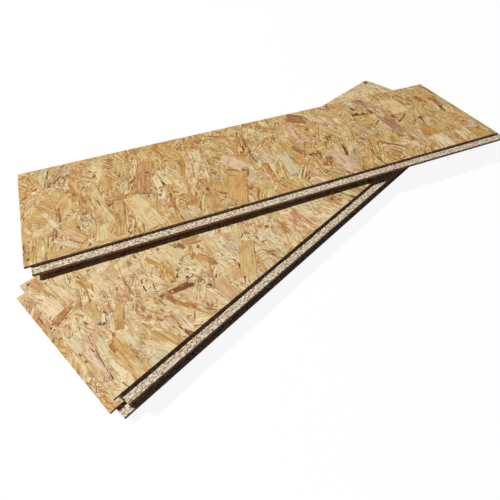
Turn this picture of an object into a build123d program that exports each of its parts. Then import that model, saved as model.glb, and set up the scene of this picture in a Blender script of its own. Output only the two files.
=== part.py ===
from build123d import *
import os

# Three boards of oriented strand board that lie loose on each other: two nearly in line, one across
# them. Each board is pressed and milled in one piece. Its front long edge carries a tongue, its back
# long edge the groove for the next row, its left end an upper lip that laps over the lower ledge
# of the board before it, and its right end that ledge.
# Lengths are in millimetres and angles in degrees.

# One board. The top face is what a laid board covers.
face_length = 1220.0
face_width = 320.0
board_thickness = 22.0

# Tongue along the front edge
tongue_drop = 6.5            # from the top face down to the tongue's upper side
tongue_thickness = 7.0       # at the root
tongue_reach = 20.5
tongue_taper = 0.25          # lost from each side between root and nose
tongue_nose_radius = 1.0

# Groove along the back edge, which takes the tongue of the next board
groove_side_play = 0.2       # above and below the tongue
groove_depth_play = 1.0      # past the tongue's nose
groove_mouth_bevel = 0.8
lower_lip_setback = 0.5      # the lower lip stands back, so the top faces close first

# Lapped short ends
lap_length = 12.0
lap_end_play = 0.5           # between a ledge and the body that it meets

# How the boards lie. Slides are of a board's front left corner, seen from the middle board's.
bottom_slide_x = -15.0
bottom_slide_y = -2.5
bottom_turn = 0.25
top_slide_x = 24.5
top_slide_y = 334.5
top_turn = -23.0

# Heights in one board, from its bottom face
tongue_top = board_thickness - tongue_drop
tongue_bottom = tongue_top - tongue_thickness
groove_top = tongue_top + groove_side_play
groove_bottom = tongue_bottom - groove_side_play

# Places across one board, from the shoulder that the tongue stands on
groove_floor = face_width - tongue_reach - groove_depth_play
lower_lip_edge = face_width - lower_lip_setback

# Places along one board, from the tip of its left lip
ledge_end = face_length + lap_length - lap_end_play

# Room that a cut runs past the surfaces that it opens
cut_margin = 5.0


def edge_section():
    """The milled section across a board, tongue to the front and groove to the back."""
    outline = Polyline(
        (0, 0),
        (lower_lip_edge, 0),
        (lower_lip_edge, groove_bottom - groove_mouth_bevel),
        (lower_lip_edge - groove_mouth_bevel, groove_bottom),
        (groove_floor, groove_bottom + tongue_taper),
        (groove_floor, groove_top - tongue_taper),
        (face_width - groove_mouth_bevel, groove_top),
        (face_width, groove_top + groove_mouth_bevel),
        (face_width, board_thickness),
        (0, board_thickness),
        (0, tongue_top),
        (-tongue_reach, tongue_top - tongue_taper),
        (-tongue_reach, tongue_bottom + tongue_taper),
        (0, tongue_bottom),
        close=True,
    )
    flat = make_face(outline)
    nose_corners = flat.vertices().group_by(Axis.X)[0]
    return fillet(nose_corners, tongue_nose_radius)


def end_cutter(start, length, low, height):
    """A block across the whole board that mills away one level of a short end."""
    width = tongue_reach + face_width + 2 * cut_margin
    corner = Pos(start, -tongue_reach - cut_margin, low)
    align_low = (Align.MIN, Align.MIN, Align.MIN)
    return corner * Box(length, width, height, align=align_low)


def make_board():
    """One board, with the front left corner of its top face above the origin."""
    blank = extrude(Plane.YZ * edge_section(), amount=ledge_end)
    below_lip = end_cutter(-cut_margin, cut_margin + lap_length, -cut_margin, cut_margin + groove_top)
    above_ledge = end_cutter(face_length, lap_length + cut_margin, tongue_top, tongue_drop + cut_margin)
    return blank - below_lip - above_ledge


def lay(board, slide_x, slide_y, turn, level):
    """A copy of the board at its place in the stack, on the boards below it."""
    return Pos(slide_x, slide_y, level * board_thickness) * Rot(0, 0, turn) * board


def stack_at_origin(boards):
    """The boards moved together, so that the origin is under the middle of the whole stack."""
    bounds = Compound(list(boards.values())).bounding_box()
    middle = bounds.center()
    to_origin = Pos(-middle.X, -middle.Y, -bounds.min.Z)
    return {name: to_origin * board for name, board in boards.items()}


board = make_board()
stack = stack_at_origin(
    {
        "bottom_panel": lay(board, bottom_slide_x, bottom_slide_y, bottom_turn, 0),
        "middle_panel": lay(board, 0, 0, 0, 1),
        "top_panel": lay(board, top_slide_x, top_slide_y, top_turn, 2),
    }
)

os.makedirs("parts", exist_ok=True)
for name, panel in stack.items():
    export_step(panel, f"parts/{name}.step")
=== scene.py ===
# %% [markdown]
# # Three tongued and grooved OSB boards
# Oriented strand board is made of thin wood strands, laid in a mat and pressed with resin. The
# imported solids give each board's place and milled shape. Here each board gets what the solid can't
# show: a core with milled edges, and a skin of real overlapping strands on both faces.

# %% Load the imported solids
import math

import bmesh
import bpy
import numpy as np
from mathutils import Matrix, Vector


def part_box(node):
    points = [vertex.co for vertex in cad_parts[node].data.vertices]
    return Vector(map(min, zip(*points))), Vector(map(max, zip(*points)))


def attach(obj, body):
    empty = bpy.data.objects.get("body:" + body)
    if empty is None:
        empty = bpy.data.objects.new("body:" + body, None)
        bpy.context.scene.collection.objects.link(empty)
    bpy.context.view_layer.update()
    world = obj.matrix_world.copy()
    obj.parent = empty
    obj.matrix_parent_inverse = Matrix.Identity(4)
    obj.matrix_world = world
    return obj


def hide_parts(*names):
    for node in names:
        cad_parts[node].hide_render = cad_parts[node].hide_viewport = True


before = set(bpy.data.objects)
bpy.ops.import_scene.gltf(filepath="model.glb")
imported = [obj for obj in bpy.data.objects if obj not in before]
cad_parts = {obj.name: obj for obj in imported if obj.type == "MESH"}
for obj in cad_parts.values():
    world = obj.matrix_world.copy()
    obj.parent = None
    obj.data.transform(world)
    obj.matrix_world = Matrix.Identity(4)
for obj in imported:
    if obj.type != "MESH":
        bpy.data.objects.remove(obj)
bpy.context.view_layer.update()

MM = 0.001
BOARDS = ("bottom_panel", "middle_panel", "top_panel")
for board in BOARDS:
    low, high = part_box(board)
    print(board, [round(v / MM, 1) for v in (*low, *high)])

# %% [markdown]
# The camera stands where the photograph was taken from, in front of the near left corner. Its place
# and turn come from the corners of the boards in the picture, so it is placed from the same corner
# of the middle board that the boards are. The lens is a short wide one, so the far end looks small.

# %% Camera
TONGUE_REACH = 20.5  # mm
SENSOR_WIDTH, LENS = 36, 28.603  # mm
FROM_CORNER = Vector((-0.03317, -0.32122, 0.65287))  # metres
RIGHT = Vector((0.68838, -0.72534, 0.00179))
DOWN = Vector((-0.53358, -0.50806, -0.67614))
AHEAD = Vector((0.49134, 0.46449, -0.73678))

scene = bpy.context.scene
middle_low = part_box("middle_panel")[0]
CORNER = Vector((middle_low.x, middle_low.y + TONGUE_REACH * MM, 0))


def new_object(name, data):
    """An object that shows the data, linked into the scene."""
    made = bpy.data.objects.new(name, data)
    scene.collection.objects.link(made)
    return made


camera_data = bpy.data.cameras.new("camera")
camera_data.sensor_width = SENSOR_WIDTH
camera_data.lens = LENS
camera = new_object("camera", camera_data)
turned = Matrix((RIGHT, -DOWN, -AHEAD)).transposed().to_4x4()
camera.matrix_world = Matrix.Translation(CORNER + FROM_CORNER) @ turned
scene.camera = camera
print("lens", LENS, "mm, looks along", [round(v, 2) for v in AHEAD])

# %% [markdown]
# One round lamp stands almost twelve metres off, high behind the boards on the left, as the shadows
# under the upper edges show. It is near enough that the far end gets less light. The surroundings
# are white to the camera but give little light, so the milled shoulders that face the camera stay
# dark.

# %% Lamp and surroundings
LAMP_PLACE = (-5.6, 6.4, 8.0)  # metres
LAMP_WATTS, LAMP_RADIUS = 7600, 0.3
LAMP_TINT = (1.0, 0.985, 0.95)
SKY_TINT, SKY_STRENGTH = (0.94, 0.8, 0.92, 1), 0.07
WHITE = (1, 1, 1, 1)


def plug(node, inputs):
    """Gives the node's inputs, by name or number, a plain value or the socket that feeds them."""
    for key, value in inputs.items():
        if isinstance(value, bpy.types.NodeSocket):
            node.id_data.links.new(value, node.inputs[key])
        else:
            node.inputs[key].default_value = value


def add_node(tree, kind, inputs=None, **settings):
    """A new shader node in the tree."""
    node = tree.nodes.new("ShaderNode" + kind)
    for key, value in settings.items():
        setattr(node, key, value)
    plug(node, inputs or {})
    return node


def seen_as(tree, to_camera, to_others):
    """Shows the camera one shader and every other ray another."""
    ray = add_node(tree, "LightPath").outputs["Is Camera Ray"]
    shaders = {0: ray, 1: to_others.outputs[0], 2: to_camera.outputs[0]}
    return add_node(tree, "MixShader", shaders).outputs[0]


scene.view_settings.view_transform = "Standard"

lamp_data = bpy.data.lights.new("lamp", "POINT")
lamp_data.energy = LAMP_WATTS
lamp_data.shadow_soft_size = LAMP_RADIUS
lamp_data.color = LAMP_TINT
lamp = new_object("lamp", lamp_data)
lamp.location = LAMP_PLACE

world = bpy.data.worlds.new("studio")
scene.world = world
world.use_nodes = True
sky = world.node_tree
sky.nodes.clear()
backdrop = add_node(sky, "Background", {"Color": WHITE})
sky_light = add_node(sky, "Background", {"Color": SKY_TINT, "Strength": SKY_STRENGTH})
add_node(sky, "OutputWorld", {0: seen_as(sky, backdrop, sky_light)})
print("lamp at", [round(v, 2) for v in lamp.location])

# %% [markdown]
# The floor is white to the camera, with a trace of real shadow on it, and a middle grey to every
# other ray, so that it throws only a little light up at the shoulders.

# %% Floor
FLOOR_SIZE, FLOOR_DROP = 30, 0.0002  # metres
SHADOW_SHARE = 0.08
PALE, GREY = (0.95, 0.95, 0.95, 1), (0.38, 0.38, 0.38, 1)

bpy.ops.object.select_all(action="DESELECT")
bpy.ops.mesh.primitive_plane_add(size=FLOOR_SIZE, location=(0, 0, -FLOOR_DROP))
floor = bpy.context.object
floor.name = "floor"
floor_paint = bpy.data.materials.new("floor_paint")
floor_paint.use_nodes = True
tree = floor_paint.node_tree
tree.nodes.clear()
white = add_node(tree, "Emission", {"Color": WHITE}).outputs[0]
pale = add_node(tree, "BsdfDiffuse", {"Color": PALE}).outputs[0]
shadowed = add_node(tree, "MixShader", {0: SHADOW_SHARE, 1: white, 2: pale})
grey = add_node(tree, "BsdfDiffuse", {"Color": GREY})
add_node(tree, "OutputMaterial", {"Surface": seen_as(tree, shadowed, grey)})
floor.data.materials.append(floor_paint)
print("floor", [round(v, 1) for v in floor.dimensions], "metres")

# %% [markdown]
# Each board has its own ruler: x runs along its length from the tip of the left lip, y runs back
# from the front shoulder and z up from its underside. All three boards are alike, so each step
# below is done once on this ruler, and a board's place is one turn and one move.

# %% A board's ruler and its place in the stack
LENGTH, WIDTH, THICK = 1220, 320, 22  # mm, like all lengths on the ruler
TONGUE_TOP, TONGUE_BOTTOM = 15.5, 8.5
TONGUE_TAPER, NOSE_RADIUS = 0.25, 1.0
GROOVE_TOP, GROOVE_BOTTOM, GROOVE_FLOOR = 15.7, 8.3, 298.5
LOWER_LIP, MOUTH_BEVEL = 319.5, 0.8
LAP, LEDGE_END = 12, 1231.5

LIES = {
    # slide from the middle board's corner in mm, level, turn in degrees
    "bottom_panel": (-15.0, -2.5, 0, 0.25),
    "middle_panel": (0, 0, 1, 0),
    "top_panel": (24.5, 334.5, 2, -23.0),
}


def board_place(board):
    """Turns a board's ruler into its place in the stack."""
    slide_x, slide_y, level, turn = LIES[board]
    slide = Vector((slide_x, slide_y, level * THICK)) * MM
    return Matrix.Translation(CORNER + slide) @ Matrix.Rotation(math.radians(turn), 4, "Z")


for board in BOARDS:
    print(board, [round(v, 4) for v in board_place(board).translation])

# %% [markdown]
# The core is one block of pressed strands whose edges were milled in a spindle moulder. It could be
# drawn as a section and pulled along, but the lapped ends stop at other heights than the long
# edges, so a block is sliced into levels and each level is pulled out as far as the cutter left it.

# %% Core with its milled edges
SKIN = 1.3  # mm of each face that the strands' skin takes
NEAR = 0.01  # mm within which two places count as one
FACING = 0.9  # how squarely a face has to point the way that is asked for, where 1 is exactly


def edit_faces(mesh, wanted):
    """Selects the faces whose centre, in mm, and normal the test wants."""
    shape = bmesh.from_edit_mesh(mesh)
    bpy.ops.mesh.select_mode(type="FACE")
    for face in shape.faces:
        face.select_set(bool(wanted(face.calc_center_median() / MM, face.normal)))
    shape.select_flush_mode()
    bmesh.update_edit_mesh(mesh)


def edit_edges(mesh, wanted):
    """Selects the edges whose two ends, in mm, the test wants. Returns how many."""
    shape = bmesh.from_edit_mesh(mesh)
    bpy.ops.mesh.select_mode(type="EDGE")
    for edge in shape.edges:
        edge.select_set(bool(wanted(edge.verts[0].co / MM, edge.verts[1].co / MM)))
    bmesh.update_edit_mesh(mesh)
    return sum(edge.select for edge in shape.edges)


def pull(x=0, y=0):
    """Extrudes the selected faces together by this much, in mm."""
    bpy.ops.mesh.extrude_region_move(TRANSFORM_OT_translate={"value": (x * MM, y * MM, 0)})


def at(value, level):
    """Whether the value is at the level, in mm."""
    return abs(value - level) < NEAR


def runs_at(a, b, y, z):
    """Whether an edge from a to b runs along the board at this y and z, in mm."""
    return at(a.y, y) and at(b.y, y) and at(a.z, z) and at(b.z, z)


bpy.ops.object.select_all(action="DESELECT")
core_length, core_height = LENGTH - LAP, THICK - 2 * SKIN
bpy.ops.mesh.primitive_cube_add(
    size=1,
    location=((LAP + core_length / 2) * MM, GROOVE_FLOOR / 2 * MM, THICK / 2 * MM),
    scale=(core_length * MM, GROOVE_FLOOR * MM, core_height * MM),
)
core = bpy.context.object
core.name = "core"
bpy.ops.object.transform_apply(location=True, rotation=True, scale=True)
bpy.ops.object.mode_set(mode="EDIT")
for level in (GROOVE_BOTTOM, TONGUE_BOTTOM, TONGUE_TOP, GROOVE_TOP):
    bpy.ops.mesh.select_all(action="SELECT")
    bpy.ops.mesh.bisect(plane_co=(0, 0, level * MM), plane_no=(0, 0, 1), use_fill=False)

edit_faces(core.data, lambda c, n: n.y > FACING and c.z > GROOVE_TOP)
pull(y=WIDTH - GROOVE_FLOOR)
edit_faces(core.data, lambda c, n: n.y > FACING and c.z < GROOVE_BOTTOM)
pull(y=LOWER_LIP - GROOVE_FLOOR)
edit_faces(core.data, lambda c, n: n.y < -FACING and TONGUE_BOTTOM < c.z < TONGUE_TOP)
pull(y=-TONGUE_REACH)
bpy.ops.transform.resize(
    value=(1, 1, 1 - 2 * TONGUE_TAPER / (TONGUE_TOP - TONGUE_BOTTOM)),
    center_override=(0, 0, (TONGUE_TOP + TONGUE_BOTTOM) / 2 * MM),
)
edit_faces(core.data, lambda c, n: n.x < -FACING and c.z > GROOVE_TOP)
pull(x=-LAP)
edit_faces(core.data, lambda c, n: n.x > FACING and c.z < TONGUE_TOP)
pull(x=LEDGE_END - LENGTH)
print("core with", len(bmesh.from_edit_mesh(core.data).faces), "faces before its edges are eased")

# %% [markdown]
# The tongue's nose is rounded and the groove's mouth is bevelled, so that the next board slides
# in. Then the edges that only the slicing needed are dissolved. They are picked one by one, because
# a limited dissolve doesn't leave the same faces in every run.

# %% Round the nose and bevel the mouth
NOSE_STEPS = 4
SAME_PLACE = 1e-6  # metres
FLAT_ENOUGH = math.radians(0.02)

nose = edit_edges(
    core.data,
    lambda a, b: runs_at(a, b, -TONGUE_REACH, TONGUE_TOP - TONGUE_TAPER)
    or runs_at(a, b, -TONGUE_REACH, TONGUE_BOTTOM + TONGUE_TAPER),
)
bpy.ops.mesh.bevel(offset=NOSE_RADIUS * MM, segments=NOSE_STEPS, profile=0.5)
mouth = edit_edges(
    core.data,
    lambda a, b: runs_at(a, b, WIDTH, GROOVE_TOP) or runs_at(a, b, LOWER_LIP, GROOVE_BOTTOM),
)
bpy.ops.mesh.bevel(offset=MOUTH_BEVEL * MM, segments=1)
bpy.ops.mesh.select_all(action="SELECT")
bpy.ops.mesh.remove_doubles(threshold=SAME_PLACE)
shape = bmesh.from_edit_mesh(core.data)
bpy.ops.mesh.select_mode(type="EDGE")
for edge in shape.edges:
    edge.select_set(edge.calc_face_angle() < FLAT_ENOUGH)
bmesh.update_edit_mesh(core.data)
bpy.ops.mesh.dissolve_edges(use_verts=True)
bpy.ops.mesh.normals_make_consistent(inside=False)
bpy.ops.object.mode_set(mode="OBJECT")
print("core", [round(v / MM, 1) for v in core.dimensions], "mm")
print(nose, "nose edges and", mouth, "mouth edges bevelled")

# %% [markdown]
# A strand is a thin flake sliced from a log. Its sides split straight along the grain, and its ends
# are cut, torn or snapped. A dozen kinds are modelled flat: a plane whose four sides are subdivided
# and whose points are pushed in and out. The rim is inset and sunk a little, as the press rounds
# it.

# %% Kinds of strand
STRAND_KINDS = {
    # length, width, how far each point of the left end, the right end, the front and the back side
    # is pushed outwards, in mm, and how wide its rounded rim is
    "block": (80, 36, (0, -2, -1), (1, -1, 0), (0.6, -0.4), (-0.5, 0.5), 1.1),
    "snapped": (74, 30, (-9, 2, -4, -1), (0, -7, 1, -3), (0.4, -0.8), (0.6, 0), 1.1),
    "slanted": (90, 27, (6, 3, 0), (-8, -4, 0), (-0.5, 0.4), (0.4, -0.3), 1.1),
    "forked": (95, 24, (0, 2, -22, -2, 1), (-3, 0, 1), (0.3, -0.6), (-0.4, 0.2), 1.0),
    "stepped": (84, 32, (0, -14, -15, 0), (2, 1, -12, -10), (0.8, -1.5), (0.2, 0.5), 1.1),
    "tapered": (100, 20, (-2, 2, -3), (-16, 6, -14), (-1.2, -0.4), (-0.8, 0.6), 1.0),
    "ragged": (66, 38, (-6, 3, -9, 1, -5), (4, -8, 2, -3, -7), (0.7, -1.2), (-1, 0.8), 1.1),
    "narrow": (88, 11, (-3, 1), (2, -4), (0.4, -0.5), (-0.3, 0.5), 0.9),
    "splinter": (70, 5, (6, -6), (-8, 5), (0.4, -0.4), (0.3, -0.3), 0.7),
    "wedge": (58, 32, (-12, -5, 2), (0, -1, -2), (-2, 1), (0.5, -1), 1.1),
    "chip": (12, 6, (1.5,), (-2,), (0.6,), (-0.8,), 0),
    "sliver": (26, 1.8, (1.5,), (3,), (0.3,), (-0.4,), 0),
}
SUNK_RIM = 0.22  # mm
SAME_POINT = 0.05  # mm


def push_vertex(mesh, x, y, dx, dy):
    """Moves the vertex at (x, y) by (dx, dy), in mm."""
    shape = bmesh.from_edit_mesh(mesh)
    for vertex in shape.verts:
        vertex.select_set((vertex.co.xy / MM - Vector((x, y))).length < SAME_POINT)
    bmesh.update_edit_mesh(mesh)
    bpy.ops.transform.translate(value=(dx * MM, dy * MM, 0))


def divide_side(mesh, axis, place, pushes):
    """Subdivides the side at this place on the axis. Returns how far along it the points are."""
    edit_edges(mesh, lambda a, b: at(a[axis], place) and at(b[axis], place))
    bpy.ops.mesh.subdivide(number_cuts=len(pushes))
    return [(i + 1) / (len(pushes) + 1) - 0.5 for i in range(len(pushes))]


def model_strand(name, length, width, left, right, front, back, rim_width):
    """One strand, lying flat with its grain along x and its top at z 0."""
    bpy.ops.object.select_all(action="DESELECT")
    bpy.ops.mesh.primitive_plane_add(size=1)
    strand = bpy.context.object
    strand.name = "strand_" + name
    strand.scale = (length * MM, width * MM, 1)
    bpy.ops.object.transform_apply(location=False, rotation=False, scale=True)
    bpy.ops.object.mode_set(mode="EDIT")
    mesh = strand.data
    moves = []
    for side, pushes in ((-1, left), (1, right)):
        x = side * length / 2
        for share, push in zip(divide_side(mesh, 0, x, pushes), pushes):
            moves.append((x, width * share, side * push, 0))
    for side, pushes in ((-1, front), (1, back)):
        y = side * width / 2
        for share, push in zip(divide_side(mesh, 1, y, pushes), pushes):
            moves.append((length * share, y, 0, side * push))
    bpy.ops.mesh.select_mode(type="VERT")
    for move in moves:
        push_vertex(mesh, *move)
    if rim_width:
        bpy.ops.mesh.select_all(action="SELECT")
        bpy.ops.mesh.inset(thickness=rim_width * MM, depth=0)
        shape = bmesh.from_edit_mesh(mesh)
        for vertex in shape.verts:
            vertex.select_set(vertex.is_boundary)
        bmesh.update_edit_mesh(mesh)
        bpy.ops.transform.translate(value=(0, 0, -SUNK_RIM * MM))
    bpy.ops.object.mode_set(mode="OBJECT")
    return strand


def mesh_points(mesh):
    """The mesh's points, one row each."""
    points = np.empty(len(mesh.vertices) * 3, np.float32)
    mesh.vertices.foreach_get("co", points)
    return points.reshape(-1, 3)


def as_template(strand):
    """The strand's points, faces and rim, as arrays that many copies can be made from."""
    points = mesh_points(strand.data).astype(float)
    faces = [tuple(f.vertices) for f in strand.data.polygons]
    return points, faces, (points[:, 2] < -SUNK_RIM * MM / 2).astype(float)


TEMPLATES = {}
for kind, sizes in STRAND_KINDS.items():
    model = model_strand(kind, *sizes)
    TEMPLATES[kind] = as_template(model)
    print(kind, len(TEMPLATES[kind][0]), "points", len(TEMPLATES[kind][1]), "faces")
    bpy.data.objects.remove(model)

# %% [markdown]
# Strands come from many trees and from all depths of a trunk, so they run from cream to rust. Woods
# without a share are only used where a strand or a crumb asks for them. Every board also has a tone
# that its strands are drawn towards, because boards differ from one pressing to the next.

# %% Wood colours of the strands
def srgb(red, green, blue):
    """A colour given as 0 to 255 on the screen, as the linear numbers that shaders take."""
    return tuple(
        c / 12.92 if c <= 0.04045 else ((c + 0.055) / 1.055) ** 2.4
        for c in (red / 255, green / 255, blue / 255)
    )


WOODS = {
    # colour, and its share of a random lay
    "straw": (srgb(206, 177, 118), 0.32),
    "honey": (srgb(201, 164, 100), 0.2),
    "cream": (srgb(216, 193, 142), 0.2),
    "pale": (srgb(224, 207, 168), 0.07),
    "rose": (srgb(208, 171, 126), 0.1),
    "tan": (srgb(194, 152, 98), 0.05),
    "amber": (srgb(188, 140, 74), 0.025),
    "rust": (srgb(160, 108, 66), 0.004),
    "grey": (srgb(190, 177, 142), 0.025),
    "blush": (srgb(222, 194, 160), 0),
    "plum": (srgb(168, 122, 94), 0),
    "slate": (srgb(104, 96, 90), 0),
    "slatey": (srgb(172, 164, 142), 0),
    "umber": (srgb(92, 56, 34), 0),
}
wood_names = list(WOODS)
wood_shares = np.array([share for _, share in WOODS.values()])
wood_shares /= wood_shares.sum()
BOARD_TONES = {
    # the tone, and how far the strands are drawn towards it
    "bottom_panel": (srgb(205, 168, 104), 0.2),
    "middle_panel": (srgb(236, 220, 176), 0.46),
    "top_panel": (srgb(196, 160, 80), 0.3),
}
print({name: float(share.round(3)) for name, share in zip(wood_names, wood_shares)})

# %% [markdown]
# The press lays the strands at random, most of them across the board, and squeezes them into one
# plane. Scattering them by hand would take days, so a seeded random lay is used: a bed of large
# strands that closes the face, then the rest in turn, then chips and heaps of crumbs. Each strand
# has its own height in the skin. Now and then a dark strand peeps out from under another by a
# millimetre and draws a thin brown line beside it: dark wood, and a painted shadow at the edge.

# %% Random lay
SKIN_DEPTH = 0.8  # mm at the top that only the strands laid one by one take
HAND_DEPTH = 0.15  # mm at the top that only the strands laid by hand take
ACROSS = 90  # degrees: the turn that most strands are near

MIX = {
    # kind of strand, and its share of a random lay
    "block": 0.2,
    "snapped": 0.15,
    "slanted": 0.12,
    "forked": 0.06,
    "stepped": 0.12,
    "tapered": 0.07,
    "ragged": 0.14,
    "narrow": 0.06,
    "splinter": 0.04,
    "wedge": 0.06,
}
mix_kinds, mix_shares = list(MIX), np.array(list(MIX.values()))
mix_shares /= mix_shares.sum()
STRAND_SCALES = (0.55, 1.25), (0.6, 1.4)
STRAND_MARGINS = 15, 12  # mm past the ends and sides where a strand's middle may still lie
ALIGNED_SHARE, ALIGNED_SPREAD = 0.87, 24  # of the strands, and degrees

BED_COLUMNS, BED_SPREAD = 32, 20  # along the board, and degrees
BED_MARGIN_X, BED_MARGIN_Y = 20, 8
BED_JITTER = 0.1, 0.9  # of a cell of the bed
BED_SCALES = 1.2, 1.4

# Dark strands that peep out under others: dark wood, and painted shadow lines at the edges.
SHADOW_LINE_SHARE = 0.14  # of the strands
MOST_PEEP, PEEP_DROP = 1.3, 0.03  # mm sideways and down
SHADOW_LINE_WOODS = ("umber", "rust", "tan")

CRUMB_WOODS = ("umber", "rust", "amber", "cream", "pale", "pale", "tan", "grey")
CRUMB_SCALES, CRUMB_SPREAD = ((0.2, 0.75), (0.3, 1.0)), 50
CRUMB_DEPTHS, CRUMB_CHIPS = (0.4, 1.2), 0.75  # of HAND_DEPTH, and of the crumbs
CHIP_SCALES, CHIP_SPREAD = ((0.25, 0.9), (0.4, 1.2)), 30
CHIP_DEPTH, CHIP_SHARE = 0.2, 0.5  # mm, and of the loose chips, where the rest are slivers
HEAP_REACHES, HEAP_COUNT = ((5, 14), (8, 24)), 22  # mm and crumbs
HEAP_SPREAD = 0.5  # of a heap's reach


def pick(random, options):
    """One of the options, all of them equally likely."""
    return options[random.integers(len(options))]


def two_in(random, ranges):
    """Two numbers, each from its own range."""
    return [random.uniform(*limits) for limits in ranges]


def spot(random, margin_x=0, margin_y=0):
    """A place on the face or in a margin around it, in mm."""
    x = random.uniform(-margin_x, LEDGE_END + margin_x)
    return x, random.uniform(-margin_y, WIDTH + margin_y)


def crumb_rows(random, x, y, reach_x, reach_y, count):
    """Rows of small chips in one spot, as where the mat was thin and dust filled it."""
    rows = []
    for _ in range(count):
        kind = "chip" if random.random() < CRUMB_CHIPS else "sliver"
        at_x = x + reach_x * random.normal(0, HEAP_SPREAD)
        at_y = y + reach_y * random.normal(0, HEAP_SPREAD)
        long, wide = two_in(random, CRUMB_SCALES)
        wood = pick(random, CRUMB_WOODS)
        height = -HAND_DEPTH * random.uniform(*CRUMB_DEPTHS)
        turn = random.uniform(ACROSS - CRUMB_SPREAD, ACROSS + CRUMB_SPREAD)
        rows.append((kind, at_x, at_y, turn, long, wide, height, wood))
    return rows


def bed_rows(random, across):
    """Rows of large strands at the bottom of the skin, so many across, that close the face."""
    rows = []
    bed_length, bed_width = LEDGE_END + 2 * BED_MARGIN_X, WIDTH + 2 * BED_MARGIN_Y
    for i in range(BED_COLUMNS):
        for j in range(across):
            x = -BED_MARGIN_X + (i + random.uniform(*BED_JITTER)) * bed_length / BED_COLUMNS
            y = -BED_MARGIN_Y + (j + random.uniform(*BED_JITTER)) * bed_width / across
            turn = random.normal(ACROSS, BED_SPREAD)
            rows.append(("block", x, y, turn, *BED_SCALES, -SKIN_DEPTH, None))
    return rows


def random_lay(random, across, count, chips, heaps):
    """Rows of kind, x, y, turn, length scale, width scale, height and wood, in mm and degrees."""
    rows = bed_rows(random, across)
    for _ in range(count):
        kind = mix_kinds[random.choice(len(mix_kinds), p=mix_shares)]
        aligned = random.random() < ALIGNED_SHARE
        turn = random.normal(ACROSS, ALIGNED_SPREAD) if aligned else random.uniform(0, 180)
        turn += 180 * (random.random() < 0.5)
        x, y = spot(random, *STRAND_MARGINS)
        long, wide = two_in(random, STRAND_SCALES)
        height = -HAND_DEPTH - (SKIN_DEPTH - HAND_DEPTH) * random.random()
        # A dark strand just below that peeps out: a painted shadow line beside this one.
        if random.random() < SHADOW_LINE_SHARE:
            peep_x, peep_y = random.uniform(-MOST_PEEP, MOST_PEEP, 2)
            shadow_line_wood = pick(random, SHADOW_LINE_WOODS)
            below = height - PEEP_DROP
            rows.append((kind, x + peep_x, y + peep_y, turn, long, wide, below, shadow_line_wood))
        rows.append((kind, x, y, turn, long, wide, height, None))
    for _ in range(chips):
        kind = "chip" if random.random() < CHIP_SHARE else "sliver"
        x, y = spot(random)
        long, wide = two_in(random, CHIP_SCALES)
        wood = pick(random, CRUMB_WOODS)
        turn = random.normal(ACROSS, CHIP_SPREAD)
        height = -HAND_DEPTH - CHIP_DEPTH * random.random()
        rows.append((kind, x, y, turn, long, wide, height, wood))
    for _ in range(heaps):
        x, y = spot(random)
        rows += crumb_rows(random, x, y, *two_in(random, HEAP_REACHES), HEAP_COUNT)
    return rows


print(len(mix_kinds), "kinds of strand in the mix, crumbs of", len(set(CRUMB_WOODS)), "woods")
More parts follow.
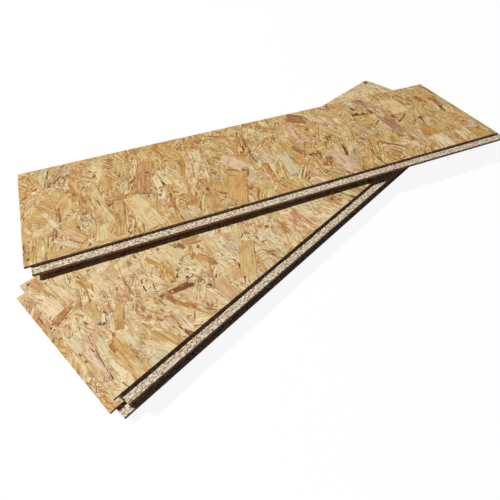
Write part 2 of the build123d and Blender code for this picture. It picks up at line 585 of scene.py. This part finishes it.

# %% [markdown]
# Some strands catch the eye: a dark knotty one, a broad pale one, a heap of crumbs. Those that the
# photograph shows are laid one by one as the last ones, at the place, turn and size that were
# measured on the board's ruler. The rest of the face stays a random lay.

# %% Strands laid one by one
CRUMB_DEPTH = 0.01  # mm below the top, for the chips and slivers laid one by one
HAND_LAID = {
    # kind, x, y, turn, length and width in mm, wood
    "bottom_panel": (
        ("block", 10, 5, -70, 26, 14, "amber"),
        ("sliver", 9, 14, -60, 13, 2.0, "rust"),
    ),
    "middle_panel": (
        ("block", 26, 286, -78, 60, 21, "tan"),
        ("chip", 13, 310, 35, 7, 4.6, "umber"),
        ("chip", 20, 278, -66, 7, 3.2, "rust"),
        ("chip", 12, 258, -64, 11, 4.8, "rust"),
        ("wedge", 89, 235, -81, 35, 18, "tan"),
        ("sliver", 85, 241, -77, 24, 2.6, "rust"),
        ("block", 48, 243, -90, 71, 35, "cream"),
        ("block", 18, 230, -79, 50, 25, "blush"),
        ("block", 22, 198, 22, 41, 13, "amber"),
        ("chip", 7, 189, -72, 12, 7.0, "rust"),
        ("chip", 24, 190, -61, 8, 3.1, "rust"),
        ("narrow", 137, 140, -101, 119, 5.4, "plum"),
        ("block", 65, 162, -100, 53, 20, "straw"),
        ("wedge", 88, 156, -100, 33, 14, "tan"),
        ("chip", 80, 148, -73, 8, 3.6, "umber"),
        ("chip", 71, 138, -118, 20, 6.8, "pale"),
        ("narrow", 78, 124, -115, 36, 8, "pale"),
        ("block", 93, 122, -124, 59, 18, "honey"),
        ("ragged", 80, 55, -92, 64, 11, "pale"),
        ("sliver", 92, 90, -93, 23, 2.2, "umber"),
        ("block", 98, 91, -96, 35, 14, "cream"),
        ("block", 57, 37, -89, 117, 34, "honey"),
        ("chip", 49, 74, -88, 20, 6.3, "rust"),
        ("sliver", 52, 85, 22, 10, 2.3, "rust"),
        ("sliver", 69, 48, -78, 25, 2.0, "rust"),
        ("snapped", 20, 84, -100, 101, 18, "blush"),
        ("sliver", 30, 115, -101, 24, 2.0, "rust"),
        ("sliver", 23, 98, -87, 11, 2.5, "umber"),
        ("sliver", 25, 81, -99, 25, 2.0, "umber"),
        ("sliver", 21, 51, -97, 40, 1.9, "umber"),
        ("sliver", 12, 33, -19, 13, 1.8, "rust"),
        ("block", 8, 126, -85, 40, 16, "pale"),
        ("block", 0, 78, -89, 62, 18, "straw"),
        ("ragged", 40, 98, -94, 49, 13, "pale"),
        ("ragged", -9, 91, -96, 39, 10, "tan"),
        ("chip", -9, 78, -71, 6, 3.0, "umber"),
        ("chip", -11, 121, -86, 4, 2.2, "umber"),
        ("chip", 4, 104, -86, 6, 2.4, "umber"),
        ("sliver", 27, 6, -79, 15, 1.6, "umber"),
        ("block", 198, 47, -66, 92, 15, "tan"),
        ("chip", 182, 81, -78, 22, 10, "rust"),
        ("block", 168, 33, -95, 53, 13, "pale"),
        ("narrow", 160, 48, -97, 30, 7.2, "rose"),
        ("sliver", 155, 14, -87, 28, 3.2, "umber"),
        ("wedge", 157, -4, -71, 38, 17, "rust"),
        ("block", 121, 20, -76, 79, 32, "honey"),
        ("chip", 154, 76, -96, 10, 3.4, "umber"),
        ("sliver", 168, 158, -104, 10, 2.8, "umber"),
        ("sliver", 162, 140, -103, 14, 2.8, "umber"),
        ("sliver", 174, 122, -110, 32, 2.4, "rust"),
        ("block", 306, 172, -25, 40, 24, "tan"),
        ("ragged", 281, 177, -70, 22, 13, "rust"),
        ("block", 270, 27, -93, 55, 25, "rose"),
        ("chip", 272, 90, -86, 16, 9, "pale"),
        ("narrow", 293, 111, -76, 44, 15, "amber"),
        ("chip", 300, 90, -91, 13, 6.9, "rust"),
        ("narrow", 273, 71, -121, 58, 4.7, "tan"),
        ("block", 355, 53, -133, 98, 33, "straw"),
        ("narrow", 287, 150, -126, 46, 7.0, "amber"),
        ("narrow", 212, 184, -80, 38, 9, "amber"),
        ("narrow", 192, 133, -87, 49, 10, "pale"),
        ("block", 217, 142, -114, 61, 23, "honey"),
        ("narrow", 363, 22, -114, 46, 6.4, "tan"),
        ("ragged", 349, 94, -91, 45, 17, "grey"),
        ("block", 323, 138, -103, 59, 29, "cream"),
        ("block", 510, 42, -101, 79, 53, "rose"),
        ("block", 481, 68, -107, 66, 23, "cream"),
        ("narrow", 428, 62, -90, 57, 16, "pale"),
        ("ragged", 626, 33, -75, 45, 29, "tan"),
        ("chip", 626, 34, -97, 9, 6.5, "umber"),
        ("wedge", 695, 13, -81, 34, 23, "tan"),
        ("chip", 483, 60, -104, 15, 11, "amber"),
        ("sliver", 528, 32, -101, 24, 3.4, "rust"),
        ("sliver", 477, 58, -99, 48, 3.0, "rust"),
        ("chip", 294, 96, -89, 12, 3.0, "rust"),
        ("narrow", 92, 60, -111, 33, 2.3, "cream"),
    ),
    "top_panel": (
        ("block", 120, 208, -90, 96, 24, "amber"),
        ("wedge", 133, 277, -63, 38, 23, "tan"),
        ("chip", 117, 184, -76, 16, 5.4, "umber"),
        ("chip", 109, 128, -78, 16, 5.1, "rust"),
        ("narrow", 76, 127, -91, 52, 10, "rust"),
        ("snapped", 64, 71, -98, 43, 10, "rust"),
        ("slanted", 66, 101, -68, 92, 9, "pale"),
        ("block", 85, 32, -40, 63, 13, "pale"),
        ("sliver", 100, 33, -43, 29, 2.5, "umber"),
        ("block", 99, 54, -56, 70, 18, "rose"),
        ("ragged", 132, 122, -61, 43, 20, "tan"),
        ("slanted", 166, 133, -81, 161, 24, "cream"),
        ("sliver", 164, 136, -80, 20, 2.4, "umber"),
        ("tapered", 45, 244, -71, 144, 11, "honey"),
        ("sliver", 88, 263, 55, 14, 4.3, "umber"),
        ("sliver", 79, 251, 43, 8, 4.5, "umber"),
        ("sliver", 66, 289, -96, 33, 2.1, "umber"),
        ("sliver", 10, 217, 40, 16, 4.1, "rust"),
        ("sliver", 33, 239, 40, 16, 4.6, "rust"),
        ("sliver", 67, 246, 57, 19, 3.6, "rust"),
        ("wedge", 159, 39, -97, 50, 28, "cream"),
        ("chip", 35, 227, -42, 17, 9, "pale"),
        ("chip", 88, 228, -43, 17, 6.4, "pale"),
        ("chip", 14, 98, -66, 26, 7.0, "pale"),
        ("chip", 28, 100, -67, 22, 6.1, "pale"),
        ("block", 199, 68, -99, 118, 23, "honey"),
        ("ragged", 208, 130, 12, 36, 21, "amber"),
        ("splinter", 205, 128, 24, 57, 4.7, "rust"),
        ("block", 277, 185, -106, 114, 38, "tan"),
        ("block", 296, 232, -107, 38, 37, "amber"),
        ("chip", 290, 204, -23, 11, 8, "umber"),
        ("sliver", 260, 130, -21, 43, 4.7, "rust"),
        ("wedge", 305, 160, -86, 52, 15, "pale"),
        ("chip", 352, 129, -67, 28, 13, "pale"),
        ("chip", 352, 130, -97, 14, 3.8, "umber"),
        ("block", 417, 187, -98, 127, 33, "cream"),
        ("slanted", 393, 194, -96, 115, 15, "rose"),
        ("slanted", 497, 158, -56, 82, 38, "blush"),
        ("block", 472, 64, -113, 130, 49, "honey"),
        ("block", 496, 115, -115, 30, 51, "rust"),
        ("wedge", 519, 86, -55, 23, 29, "pale"),
        ("stepped", 410, 63, -98, 130, 23, "tan"),
        ("chip", 406, 83, -74, 12, 6.7, "umber"),
        ("block", 364, 73, -101, 69, 18, "tan"),
        ("wedge", 349, 14, -69, 27, 16, "rose"),
        ("sliver", 562, 230, -94, 66, 3.3, "slate"),
        ("sliver", 556, 184, -105, 37, 2.9, "slate"),
        ("sliver", 554, 153, -87, 34, 3.3, "slate"),
        ("sliver", 546, 208, -93, 20, 4.1, "umber"),
        ("narrow", 377, 193, -105, 80, 12, "amber"),
        ("narrow", 318, 72, -94, 66, 6.7, "rust"),
        ("wedge", 333, 292, -61, 38, 21, "amber"),
        ("chip", 344, 285, -80, 22, 7.3, "rust"),
        ("ragged", 510, 255, -67, 42, 23, "rose"),
        ("block", 251, 69, -75, 125, 42, "cream"),
        ("wedge", 256, 213, -85, 32, 10, "pale"),
        ("ragged", 745, 285, -36, 64, 45, "rust"),
        ("chip", 769, 267, -85, 25, 12, "rust"),
        ("block", 705, 221, -82, 108, 50, "rose"),
        ("sliver", 709, 207, -96, 42, 4.2, "rust"),
        ("block", 758, 59, -88, 106, 44, "blush"),
        ("narrow", 790, 265, -65, 101, 17, "pale"),
        ("wedge", 724, 71, -124, 48, 20, "rust"),
        ("block", 626, 102, -95, 99, 26, "pale"),
        ("narrow", 668, 20, -60, 53, 19, "cream"),
        ("narrow", 565, 94, -97, 64, 21, "amber"),
        ("sliver", 657, 286, -91, 35, 3.7, "rust"),
        ("sliver", 668, 270, 55, 43, 3.2, "rust"),
        ("sliver", 765, 194, -120, 62, 3.0, "amber"),
        ("sliver", 778, 168, 9, 28, 5.4, "rust"),
        ("sliver", 695, 142, -119, 61, 3.1, "rust"),
        ("chip", 676, 142, -70, 38, 16, "rust"),
        ("tapered", 970, 264, -87, 95, 28, "plum"),
        ("chip", 967, 231, -81, 21, 10, "umber"),
        ("ragged", 891, 307, -60, 51, 34, "tan"),
        ("chip", 852, 56, -94, 29, 10, "rust"),
        ("sliver", 848, 21, -90, 33, 3.5, "umber"),
        ("chip", 744, 9, -67, 12, 6.1, "umber"),
        ("chip", 926, 267, -82, 18, 9, "umber"),
        ("narrow", 934, 295, -68, 44, 22, "pale"),
        ("narrow", 820, 103, -72, 57, 21, "cream"),
        ("stepped", 981, 151, -93, 121, 33, "plum"),
        ("chip", 1011, 184, -82, 20, 10, "umber"),
        ("narrow", 1056, 226, -122, 62, 12, "slatey"),
        ("narrow", 1197, 74, -80, 33, 21, "slatey"),
        ("chip", 1177, 167, -99, 37, 10, "umber"),
        ("narrow", 1185, 208, -98, 59, 23, "rust"),
        ("chip", 1071, 299, -84, 23, 13, "rust"),
        ("chip", 1117, 250, -85, 22, 11, "rust"),
        ("narrow", 1148, 244, -88, 36, 16, "rust"),
        ("chip", 1098, 228, -78, 15, 9, "rust"),
        ("sliver", 1216, 269, -92, 58, 9, "rust"),
        ("wedge", 1052, 89, -86, 53, 41, "amber"),
        ("block", 1060, 29, -94, 62, 37, "pale"),
        ("block", 1023, 26, -100, 64, 33, "cream"),
        ("wedge", 1008, 11, -91, 35, 24, "amber"),
        ("sliver", 1111, 39, -93, 76, 5.2, "rust"),
        ("wedge", 937, 89, -101, 35, 17, "amber"),
        ("sliver", 918, 71, -45, 65, 7.0, "rust"),
        ("sliver", 1028, 168, 34, 54, 3.3, "umber"),
        ("block", 1138, 33, -95, 54, 39, "cream"),
        ("narrow", 1160, 26, -96, 38, 13, "tan"),
        ("block", 1051, 235, -91, 79, 56, "cream"),
    ),
}
HAND_CRUMBS = {
    # x, y, how far they reach both ways, in mm, and how many
    "bottom_panel": (),
    "middle_panel": ((-4, 93, 8, 20, 40), (256, 70, 14, 26, 60)),
    "top_panel": (
        (226, 194, 14, 30, 70),
        (91, 236, 12, 26, 50),
        (122, 83, 14, 28, 60),
        (150, 194, 9, 22, 40),
        (456, 195, 4, 26, 30),
    ),
}


def hand_rows(board, random):
    """The strands laid one by one as rows, each a little above the one before it."""
    rows = []
    for heap in HAND_CRUMBS[board]:
        rows += crumb_rows(random, *heap)
    laid = HAND_LAID[board]
    for i, (kind, x, y, turn, length, width, wood) in enumerate(laid):
        long, wide = length / STRAND_KINDS[kind][0], width / STRAND_KINDS[kind][1]
        on_top = kind in ("chip", "sliver")
        height = -CRUMB_DEPTH if on_top else -HAND_DEPTH * (1 - i / len(laid))
        rows.append((kind, x, y, turn, long, wide, height, wood))
    return rows


print({board: len(laid) for board, laid in HAND_LAID.items()}, "strands laid by hand")

# %% [markdown]
# All rows become one sheet of flakes. Each flake gets a slight tilt, a wood colour and a stretch of
# grain of its own, kept as attributes and as a map, so that one material can paint them all.

# %% Lay a sheet of strands
STRAND_THICK = 1.0  # mm
MOST_TILT = 0.07  # mm that a strand's end or side is off its middle
SHADES, HUE_SPREAD = (0.87, 1.08), 0.012  # how light a strand is, and how its hue varies
GRAIN_ROOM = 40  # metres of grain that a strand's own stretch is cut from
CALM = 0.5  # a strand whose wood is asked for has less grain on it


def store(mesh, name, kind, field, values):
    """Keeps a named attribute with a value for each of the mesh's points."""
    layer = mesh.attributes.new(name, kind, "POINT")
    layer.data.foreach_set(field, np.concatenate(values).astype(np.float32).ravel())


def lay_strands(name, rows, random, tone, tone_share):
    """Copies the strands into one sheet of flakes on the board's ruler, with its top at z 0."""
    points, faces, rims, tints, grains, chances = [], [], [], [], [], []
    start = 0
    for kind, x, y, turn, long, wide, height, wood in rows:
        shape, shape_faces, rim = TEMPLATES[kind]
        flip = 1 if random.random() < 0.5 else -1
        local = shape * (long, wide, 1)
        angle = math.radians(turn)
        cos, sin = math.cos(angle), math.sin(angle)
        placed = np.empty_like(local)
        placed[:, 0] = x * MM + local[:, 0] * cos - local[:, 1] * sin
        placed[:, 1] = y * MM + local[:, 0] * sin + local[:, 1] * cos
        tilt = random.uniform(-1, 1, 2) * min(MOST_TILT, -height / 2) * MM
        half = np.abs(shape[:, :2]).max(0)
        placed[:, 2] = height * MM + (shape[:, :2] / half) @ tilt + local[:, 2]
        drawn = wood_names[random.choice(len(wood_names), p=wood_shares)]
        colour = np.array(WOODS[wood or drawn][0])
        tint = colour * random.uniform(*SHADES) * random.normal(1, HUE_SPREAD, 3)
        if not wood:
            tint = tint * (1 - tone_share) + np.array(tone) * tone_share
        points.append(placed)
        rims.append(rim)
        tints.append(np.tile(np.append(tint, 1), (len(rim), 1)))
        chances.append(np.full(len(rim), random.random() * (CALM if wood else 1)))
        grains.append(local[:, :2] * (1, flip) + random.uniform(0, GRAIN_ROOM, 2))
        faces += [tuple(start + v for v in f) for f in shape_faces]
        start += len(rim)
    mesh = bpy.data.meshes.new(name)
    mesh.from_pydata(np.concatenate(points), [], faces)
    grain_map = mesh.uv_layers.new(name="grain")
    corner = np.empty(len(mesh.loops), np.int32)
    mesh.loops.foreach_get("vertex_index", corner)
    grain_map.uv.foreach_set("vector", np.concatenate(grains)[corner].astype(np.float32).ravel())
    store(mesh, "tint", "FLOAT_COLOR", "color", tints)
    store(mesh, "rim", "FLOAT", "value", rims)
    store(mesh, "chance", "FLOAT", "value", chances)
    return new_object(name, mesh)


print("a skin is", SKIN_DEPTH + STRAND_THICK, "mm deep at most")

# %% [markdown]
# The sheet is sawn off along the board's edges, as the whole board was, and only then gets its
# thickness. A second map unrolls it as it lies, with the highest flakes last, so that a picture of
# the face can be kept for other programs.

# %% Saw off, unroll and place a skin
WALL_ROOM = 1.0  # mm that an upright face gets on the map
LEVEL = 0.5  # a normal's rise from which a face no longer counts as upright


def saw_off(skin, low_x, high_x, low_y, high_y):
    """Cuts the sheet along the board's four edges, and gives each flake its thickness."""
    bpy.ops.object.select_all(action="DESELECT")
    skin.select_set(True)
    bpy.context.view_layer.objects.active = skin
    bpy.ops.object.mode_set(mode="EDIT")
    for place, normal in (
        ((low_x, 0, 0), (-1, 0, 0)),
        ((high_x, 0, 0), (1, 0, 0)),
        ((0, low_y, 0), (0, -1, 0)),
        ((0, high_y, 0), (0, 1, 0)),
    ):
        bpy.ops.mesh.select_all(action="SELECT")
        bpy.ops.mesh.bisect(plane_co=Vector(place) * MM, plane_no=normal, clear_outer=True)
    bpy.ops.object.mode_set(mode="OBJECT")
    thick = skin.modifiers.new("thickness", "SOLIDIFY")
    thick.thickness = STRAND_THICK * MM
    thick.offset = -1
    bpy.ops.object.modifier_apply(modifier="thickness")
    points = mesh_points(skin.data)
    # A tilted flake gets its thickness at a slant, so it leans over the cut until it is held back.
    points[:, 0] = np.clip(points[:, 0], low_x * MM, high_x * MM)
    points[:, 1] = np.clip(points[:, 1], low_y * MM, high_y * MM)
    skin.data.vertices.foreach_set("co", points.ravel())


def unroll(skin, low_x, high_x, low_y, high_y):
    """Sorts the faces from the lowest to the highest and maps the sheet as it lies."""
    shape = bmesh.new()
    shape.from_mesh(skin.data)
    shape.faces.sort(key=lambda f: (f.normal.z > LEVEL) + f.calc_center_median().z)
    sheet = shape.loops.layers.uv.new("OFBake")
    corner = Vector((low_x, low_y)) * MM
    size = Vector((high_x - low_x, high_y - low_y)) * MM
    for face in shape.faces:
        wall = abs(face.normal.z) < LEVEL
        middle = face.calc_center_median().z
        for loop in face.loops:
            place = loop.vert.co.xy - corner
            if wall and loop.vert.co.z < middle:
                place -= face.normal.xy * WALL_ROOM * MM
            loop[sheet].uv = (place.x / size.x, place.y / size.y)
    shape.to_mesh(skin.data)
    shape.free()


def place_skin(skin, board, side):
    """Moves a skin from z 0 to its side of the board, and to the board's place."""
    if side == "upper":
        on_board = Matrix.Translation((0, 0, THICK * MM))
    else:
        on_board = Matrix.Translation((0, WIDTH * MM, 0)) @ Matrix.Rotation(math.pi, 4, "X")
    skin.data.transform(board_place(board) @ on_board)


print("the map gives upright faces", WALL_ROOM, "mm")

# %% [markdown]
# The look of a strand comes from its own wood. Every flake carries its colour, and its grain map
# runs along its length, so streaks, pores and stains follow each flake, whichever way it lies. Two
# patterns lie on the whole stack instead: broad zones with more stain, and spots where resin
# seeped.

# %% Patterns in the strands' wood
def new_material(name):
    """A material with a plain shader, and its tree of nodes."""
    material = bpy.data.materials.new(name)
    material.use_nodes = True
    return material, material.node_tree


def streaks(coordinate, scale, detail=2.0, rough=0.55):
    """Noise that is stretched as scale says, in spots per metre."""
    tree = coordinate.id_data
    stretched = add_node(tree, "Mapping", {"Vector": coordinate, "Scale": scale}).outputs[0]
    noise = {"Vector": stretched, "Scale": 1.0, "Detail": detail, "Roughness": rough}
    return add_node(tree, "TexNoise", noise).outputs["Fac"]


def remap(value, low, high, to_low=0.0, to_high=1.0):
    """The value with its range from low to high moved to another range, and held inside that."""
    ends = {"Value": value, "From Min": low, "From Max": high, "To Min": to_low, "To Max": to_high}
    return add_node(value.id_data, "MapRange", ends).outputs[0]


def mix(first, second, factor, blend="MIX"):
    """The first colour with the second over it, as far as the factor says."""
    values = [(*value, 1) if isinstance(value, tuple) else value for value in (first, second)]
    inputs = {0: factor, 6: values[0], 7: values[1]}
    tree = next(v.id_data for v in inputs.values() if isinstance(v, bpy.types.NodeSocket))
    return add_node(tree, "Mix", inputs, data_type="RGBA", blend_type=blend).outputs[2]


def maths(operation, first, second=0):
    """The result of one arithmetic step on a socket."""
    return add_node(first.id_data, "Math", {0: first, 1: second}, operation=operation).outputs[0]


strand_face, tree = new_material("strand_face")
grain = add_node(tree, "UVMap", uv_map="grain").outputs[0]
tint = add_node(tree, "Attribute", attribute_name="tint").outputs["Color"]
rim = add_node(tree, "Attribute", attribute_name="rim").outputs["Fac"]
chance = add_node(tree, "Attribute", attribute_name="chance").outputs["Fac"]
place = add_node(tree, "TexCoord").outputs["Object"]

fine = streaks(grain, (30, 420, 1), 3.0, 0.6)
lines = streaks(grain, (22, 210, 1))
patches = streaks(grain, (22, 66, 1))
flecks = streaks(grain, (55, 260, 1), 1.0)
specks = streaks(grain, (85, 200, 1), 2.0, 0.6)
dots = streaks(grain, (130, 190, 1), 1.0)
zones = remap(streaks(place, (10, 10, 10), 1.0), 0.38, 0.6, 0.25, 1.0)
seeped = remap(streaks(place, (34, 34, 34), 3.0), 0.54, 0.62, 0.0, 0.55)
strength = remap(chance, 0.25, 1.0, 0.2, 0.95)
other_chance = maths("FRACT", maths("MULTIPLY", chance, 7.3))
third_chance = maths("FRACT", maths("MULTIPLY", chance, 23.7))
print("patterns from", len(tree.nodes), "nodes")

# %% [markdown]
# The patterns are laid over a flake's colour one after the other: stains and bleached patches,
# grain lines, specks and pores, and last painted shade in its sunk rim. Every flake has a chance of
# its own that says how strongly each of them shows, so no two look alike.

# %% Material of the strands
BUMP_STRENGTH = 0.4


def coat(tree, colour, roughness, specular, relief=None, depth=0):
    """Gives the shader its colour and sheen, and a fine relief of so many metres."""
    inputs = {"Base Color": colour, "Roughness": roughness, "Specular IOR Level": specular}
    if relief is not None:
        bump = {"Strength": BUMP_STRENGTH, "Distance": depth, "Height": relief}
        inputs["Normal"] = add_node(tree, "Bump", bump).outputs[0]
    plug(tree.nodes["Principled BSDF"], inputs)


# Stains and bleached patches
stained = maths("MULTIPLY", remap(patches, 0.49, 0.56), remap(other_chance, 0.4, 0.7, 0.1, 1.0))
stained = maths("MAXIMUM", maths("MULTIPLY", stained, zones), seeped)
wood = mix(tint, mix(tint, srgb(174, 108, 26), 0.68), stained)
bleached = maths("MULTIPLY", remap(patches, 0.47, 0.38), remap(third_chance, 0.45, 0.8, 0.1, 1.0))
wood = mix(wood, mix(wood, srgb(238, 222, 180), 0.6), bleached)

# Grain lines
combed = maths("MULTIPLY", strength, remap(patches, 0.42, 0.56, 0.4, 1.0))
dark_lines = maths("MULTIPLY", remap(lines, 0.54, 0.6), combed)
pale_lines = maths("MULTIPLY", remap(lines, 0.45, 0.38, 0.0, 0.75), strength)
wood = mix(wood, srgb(128, 74, 32), dark_lines)
wood = mix(wood, srgb(244, 228, 184), pale_lines)
wood = mix(wood, mix(wood, srgb(124, 74, 34), 0.5), remap(fine, 0.54, 0.62, 0.0, 0.7))

# Specks, flecks and pores
speckled = remap(other_chance, 0.45, 0.9, 0.2, 0.85)
dark_specks = maths("MULTIPLY", remap(specks, 0.55, 0.62), speckled)
pale_specks = maths("MULTIPLY", remap(specks, 0.45, 0.38), speckled)
wood = mix(wood, mix(wood, srgb(124, 76, 36), 0.5), dark_specks)
wood = mix(wood, mix(wood, srgb(246, 230, 190), 0.5), pale_specks)
wood = mix(wood, srgb(86, 48, 28), maths("MULTIPLY", remap(flecks, 0.655, 0.68), combed))
wood = mix(wood, srgb(70, 42, 28), remap(dots, 0.75, 0.77, 0.0, 0.95))

# Painted shade in the sunk rim
rim_shade = maths("MULTIPLY", remap(rim, 0.25, 0.6), remap(patches, 0.46, 0.54, 0.0, 0.9))
wood = mix(wood, srgb(112, 64, 30), rim_shade)

coat(tree, wood, remap(fine, 0.3, 0.7, 0.52, 0.7), 0.3, lines, 0.0004)
print("strand face", len(tree.nodes), "nodes")

# %% [markdown]
# A cutter leaves the strands' cut ends: pale, dry and finely speckled, in thin layers where it cut
# across the board and in small chips where it cut level. The noise is stretched flat, so one
# pattern gives layers on upright faces and chips on level ones. The upright faces get a darker,
# redder copy of it, which is painted shade. Under the skin, where a gap lets the eye in, lie brown
# crumbs, painted darker as shade in the gap.

# %% Materials of the core
def milled_material(name, painted_shade_tint):
    """Cut strand ends, multiplied by a tint that paints shade on them where it is not white."""
    material, tree = new_material(name)
    place = add_node(tree, "Attribute", attribute_name="board_place").outputs["Vector"]
    layers = streaks(place, (45, 80, 900))
    chips = streaks(place, (180, 260, 1500), 2.0, 0.6)
    dust = streaks(place, (330, 420, 2200), 1.0)
    wood = mix(srgb(206, 192, 166), srgb(190, 170, 140), remap(layers, 0.45, 0.62))
    wood = mix(wood, srgb(240, 232, 212), remap(chips, 0.47, 0.4, 0.0, 0.9))
    wood = mix(wood, srgb(132, 104, 80), remap(chips, 0.55, 0.6, 0.0, 0.9))
    wood = mix(wood, srgb(80, 60, 48), remap(dust, 0.62, 0.67, 0.0, 0.95))
    wood = mix(wood, srgb(168, 100, 70), remap(dust, 0.34, 0.28, 0.0, 0.6))
    # Painted shade: the tint multiplies the colour, and it is white for the level faces.
    wood = mix(wood, painted_shade_tint, 1.0, "MULTIPLY")
    coat(tree, wood, 0.85, 0.2, chips, 0.0005)
    return material


milled = milled_material("milled_level", (1.0, 1.0, 1.0))
# The upright faces get a darker, redder copy of the milled material: painted shade.
painted_shade_shoulder = milled_material("milled_upright_painted_shade", (0.7, 0.52, 0.52))

# Under the skin: brown crumbs, painted darker as shade in the gaps between strands.
crumbs_and_gap_shade, tree = new_material("crumbs_and_painted_gap_shade")
place = add_node(tree, "Attribute", attribute_name="board_place").outputs["Vector"]
heaped = remap(streaks(place, (400, 400, 400), 3.0), 0.4, 0.6)
coat(tree, mix(srgb(150, 110, 70), srgb(90, 62, 38), heaped), 0.9, 0.1)
print([material.name for material in (milled, painted_shade_shoulder, crumbs_and_gap_shade)])

# %% [markdown]
# Now the three boards are put together: a copy of the core, a skin above and a skin below, each
# with strands of its own, because no two boards of this kind look alike.

# %% Put the boards together
SEEDS = {"bottom_panel": 11, "middle_panel": 23, "top_panel": 5}
PATTERN_STEP = 0.7  # metres along the milled pattern from one seed to the next
LAYS = {
    # rows of the bed across, strands, chips and heaps of crumbs
    "upper": (8, 440, 800, 30),
    "lower": (7, 330, 120, 3),
}
SAWN = {
    # the skin's ends and sides on the board's ruler
    "upper": (0, LENGTH, 0, WIDTH),
    "lower": (LAP, LEDGE_END, WIDTH - LOWER_LIP, WIDTH),
}


def finish_piece(piece, board):
    """Rides the piece on the stack's one body, in place of the board's solid."""
    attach(piece, "root")
    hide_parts(board)


def core_material(face):
    """The material of one of the core's faces."""
    # Upright faces take the milled copy with painted shade.
    if abs(face.normal.z) < FACING:
        return painted_shade_shoulder
    # The faces just under the skins take the crumbs with painted gap shade.
    height = face.center.z / MM
    return crumbs_and_gap_shade if at(height, SKIN) or at(height, THICK - SKIN) else milled


def copy_core(board):
    """The board's own core, with its ruler kept for the pattern of the milled edges."""
    mesh = core.data.copy()
    mesh.name = board + "_core"
    shift = (PATTERN_STEP * SEEDS[board], 0, 0)
    store(mesh, "board_place", "FLOAT_VECTOR", "vector", [mesh_points(mesh) + shift])
    for material in (milled, painted_shade_shoulder, crumbs_and_gap_shade):
        mesh.materials.append(material)
    for face in mesh.polygons:
        face.material_index = mesh.materials.find(core_material(face).name)
    mesh.transform(board_place(board))
    finish_piece(new_object(mesh.name, mesh), board)


for board in BOARDS:
    copy_core(board)
    for side in ("upper", "lower"):
        random = np.random.default_rng(SEEDS[board] * 10 + (side == "upper"))
        rows = random_lay(random, *LAYS[side])
        if side == "upper":
            rows += hand_rows(board, random)
        skin = lay_strands(f"{board}_{side}_strands", rows, random, *BOARD_TONES[board])
        saw_off(skin, *SAWN[side])
        unroll(skin, *SAWN[side])
        place_skin(skin, board, side)
        skin.data.materials.append(strand_face)
        finish_piece(skin, board)
        triangles = sum(len(f.vertices) - 2 for f in skin.data.polygons)
        print(skin.name, len(rows), "strands", triangles, "triangles")
bpy.data.objects.remove(core)
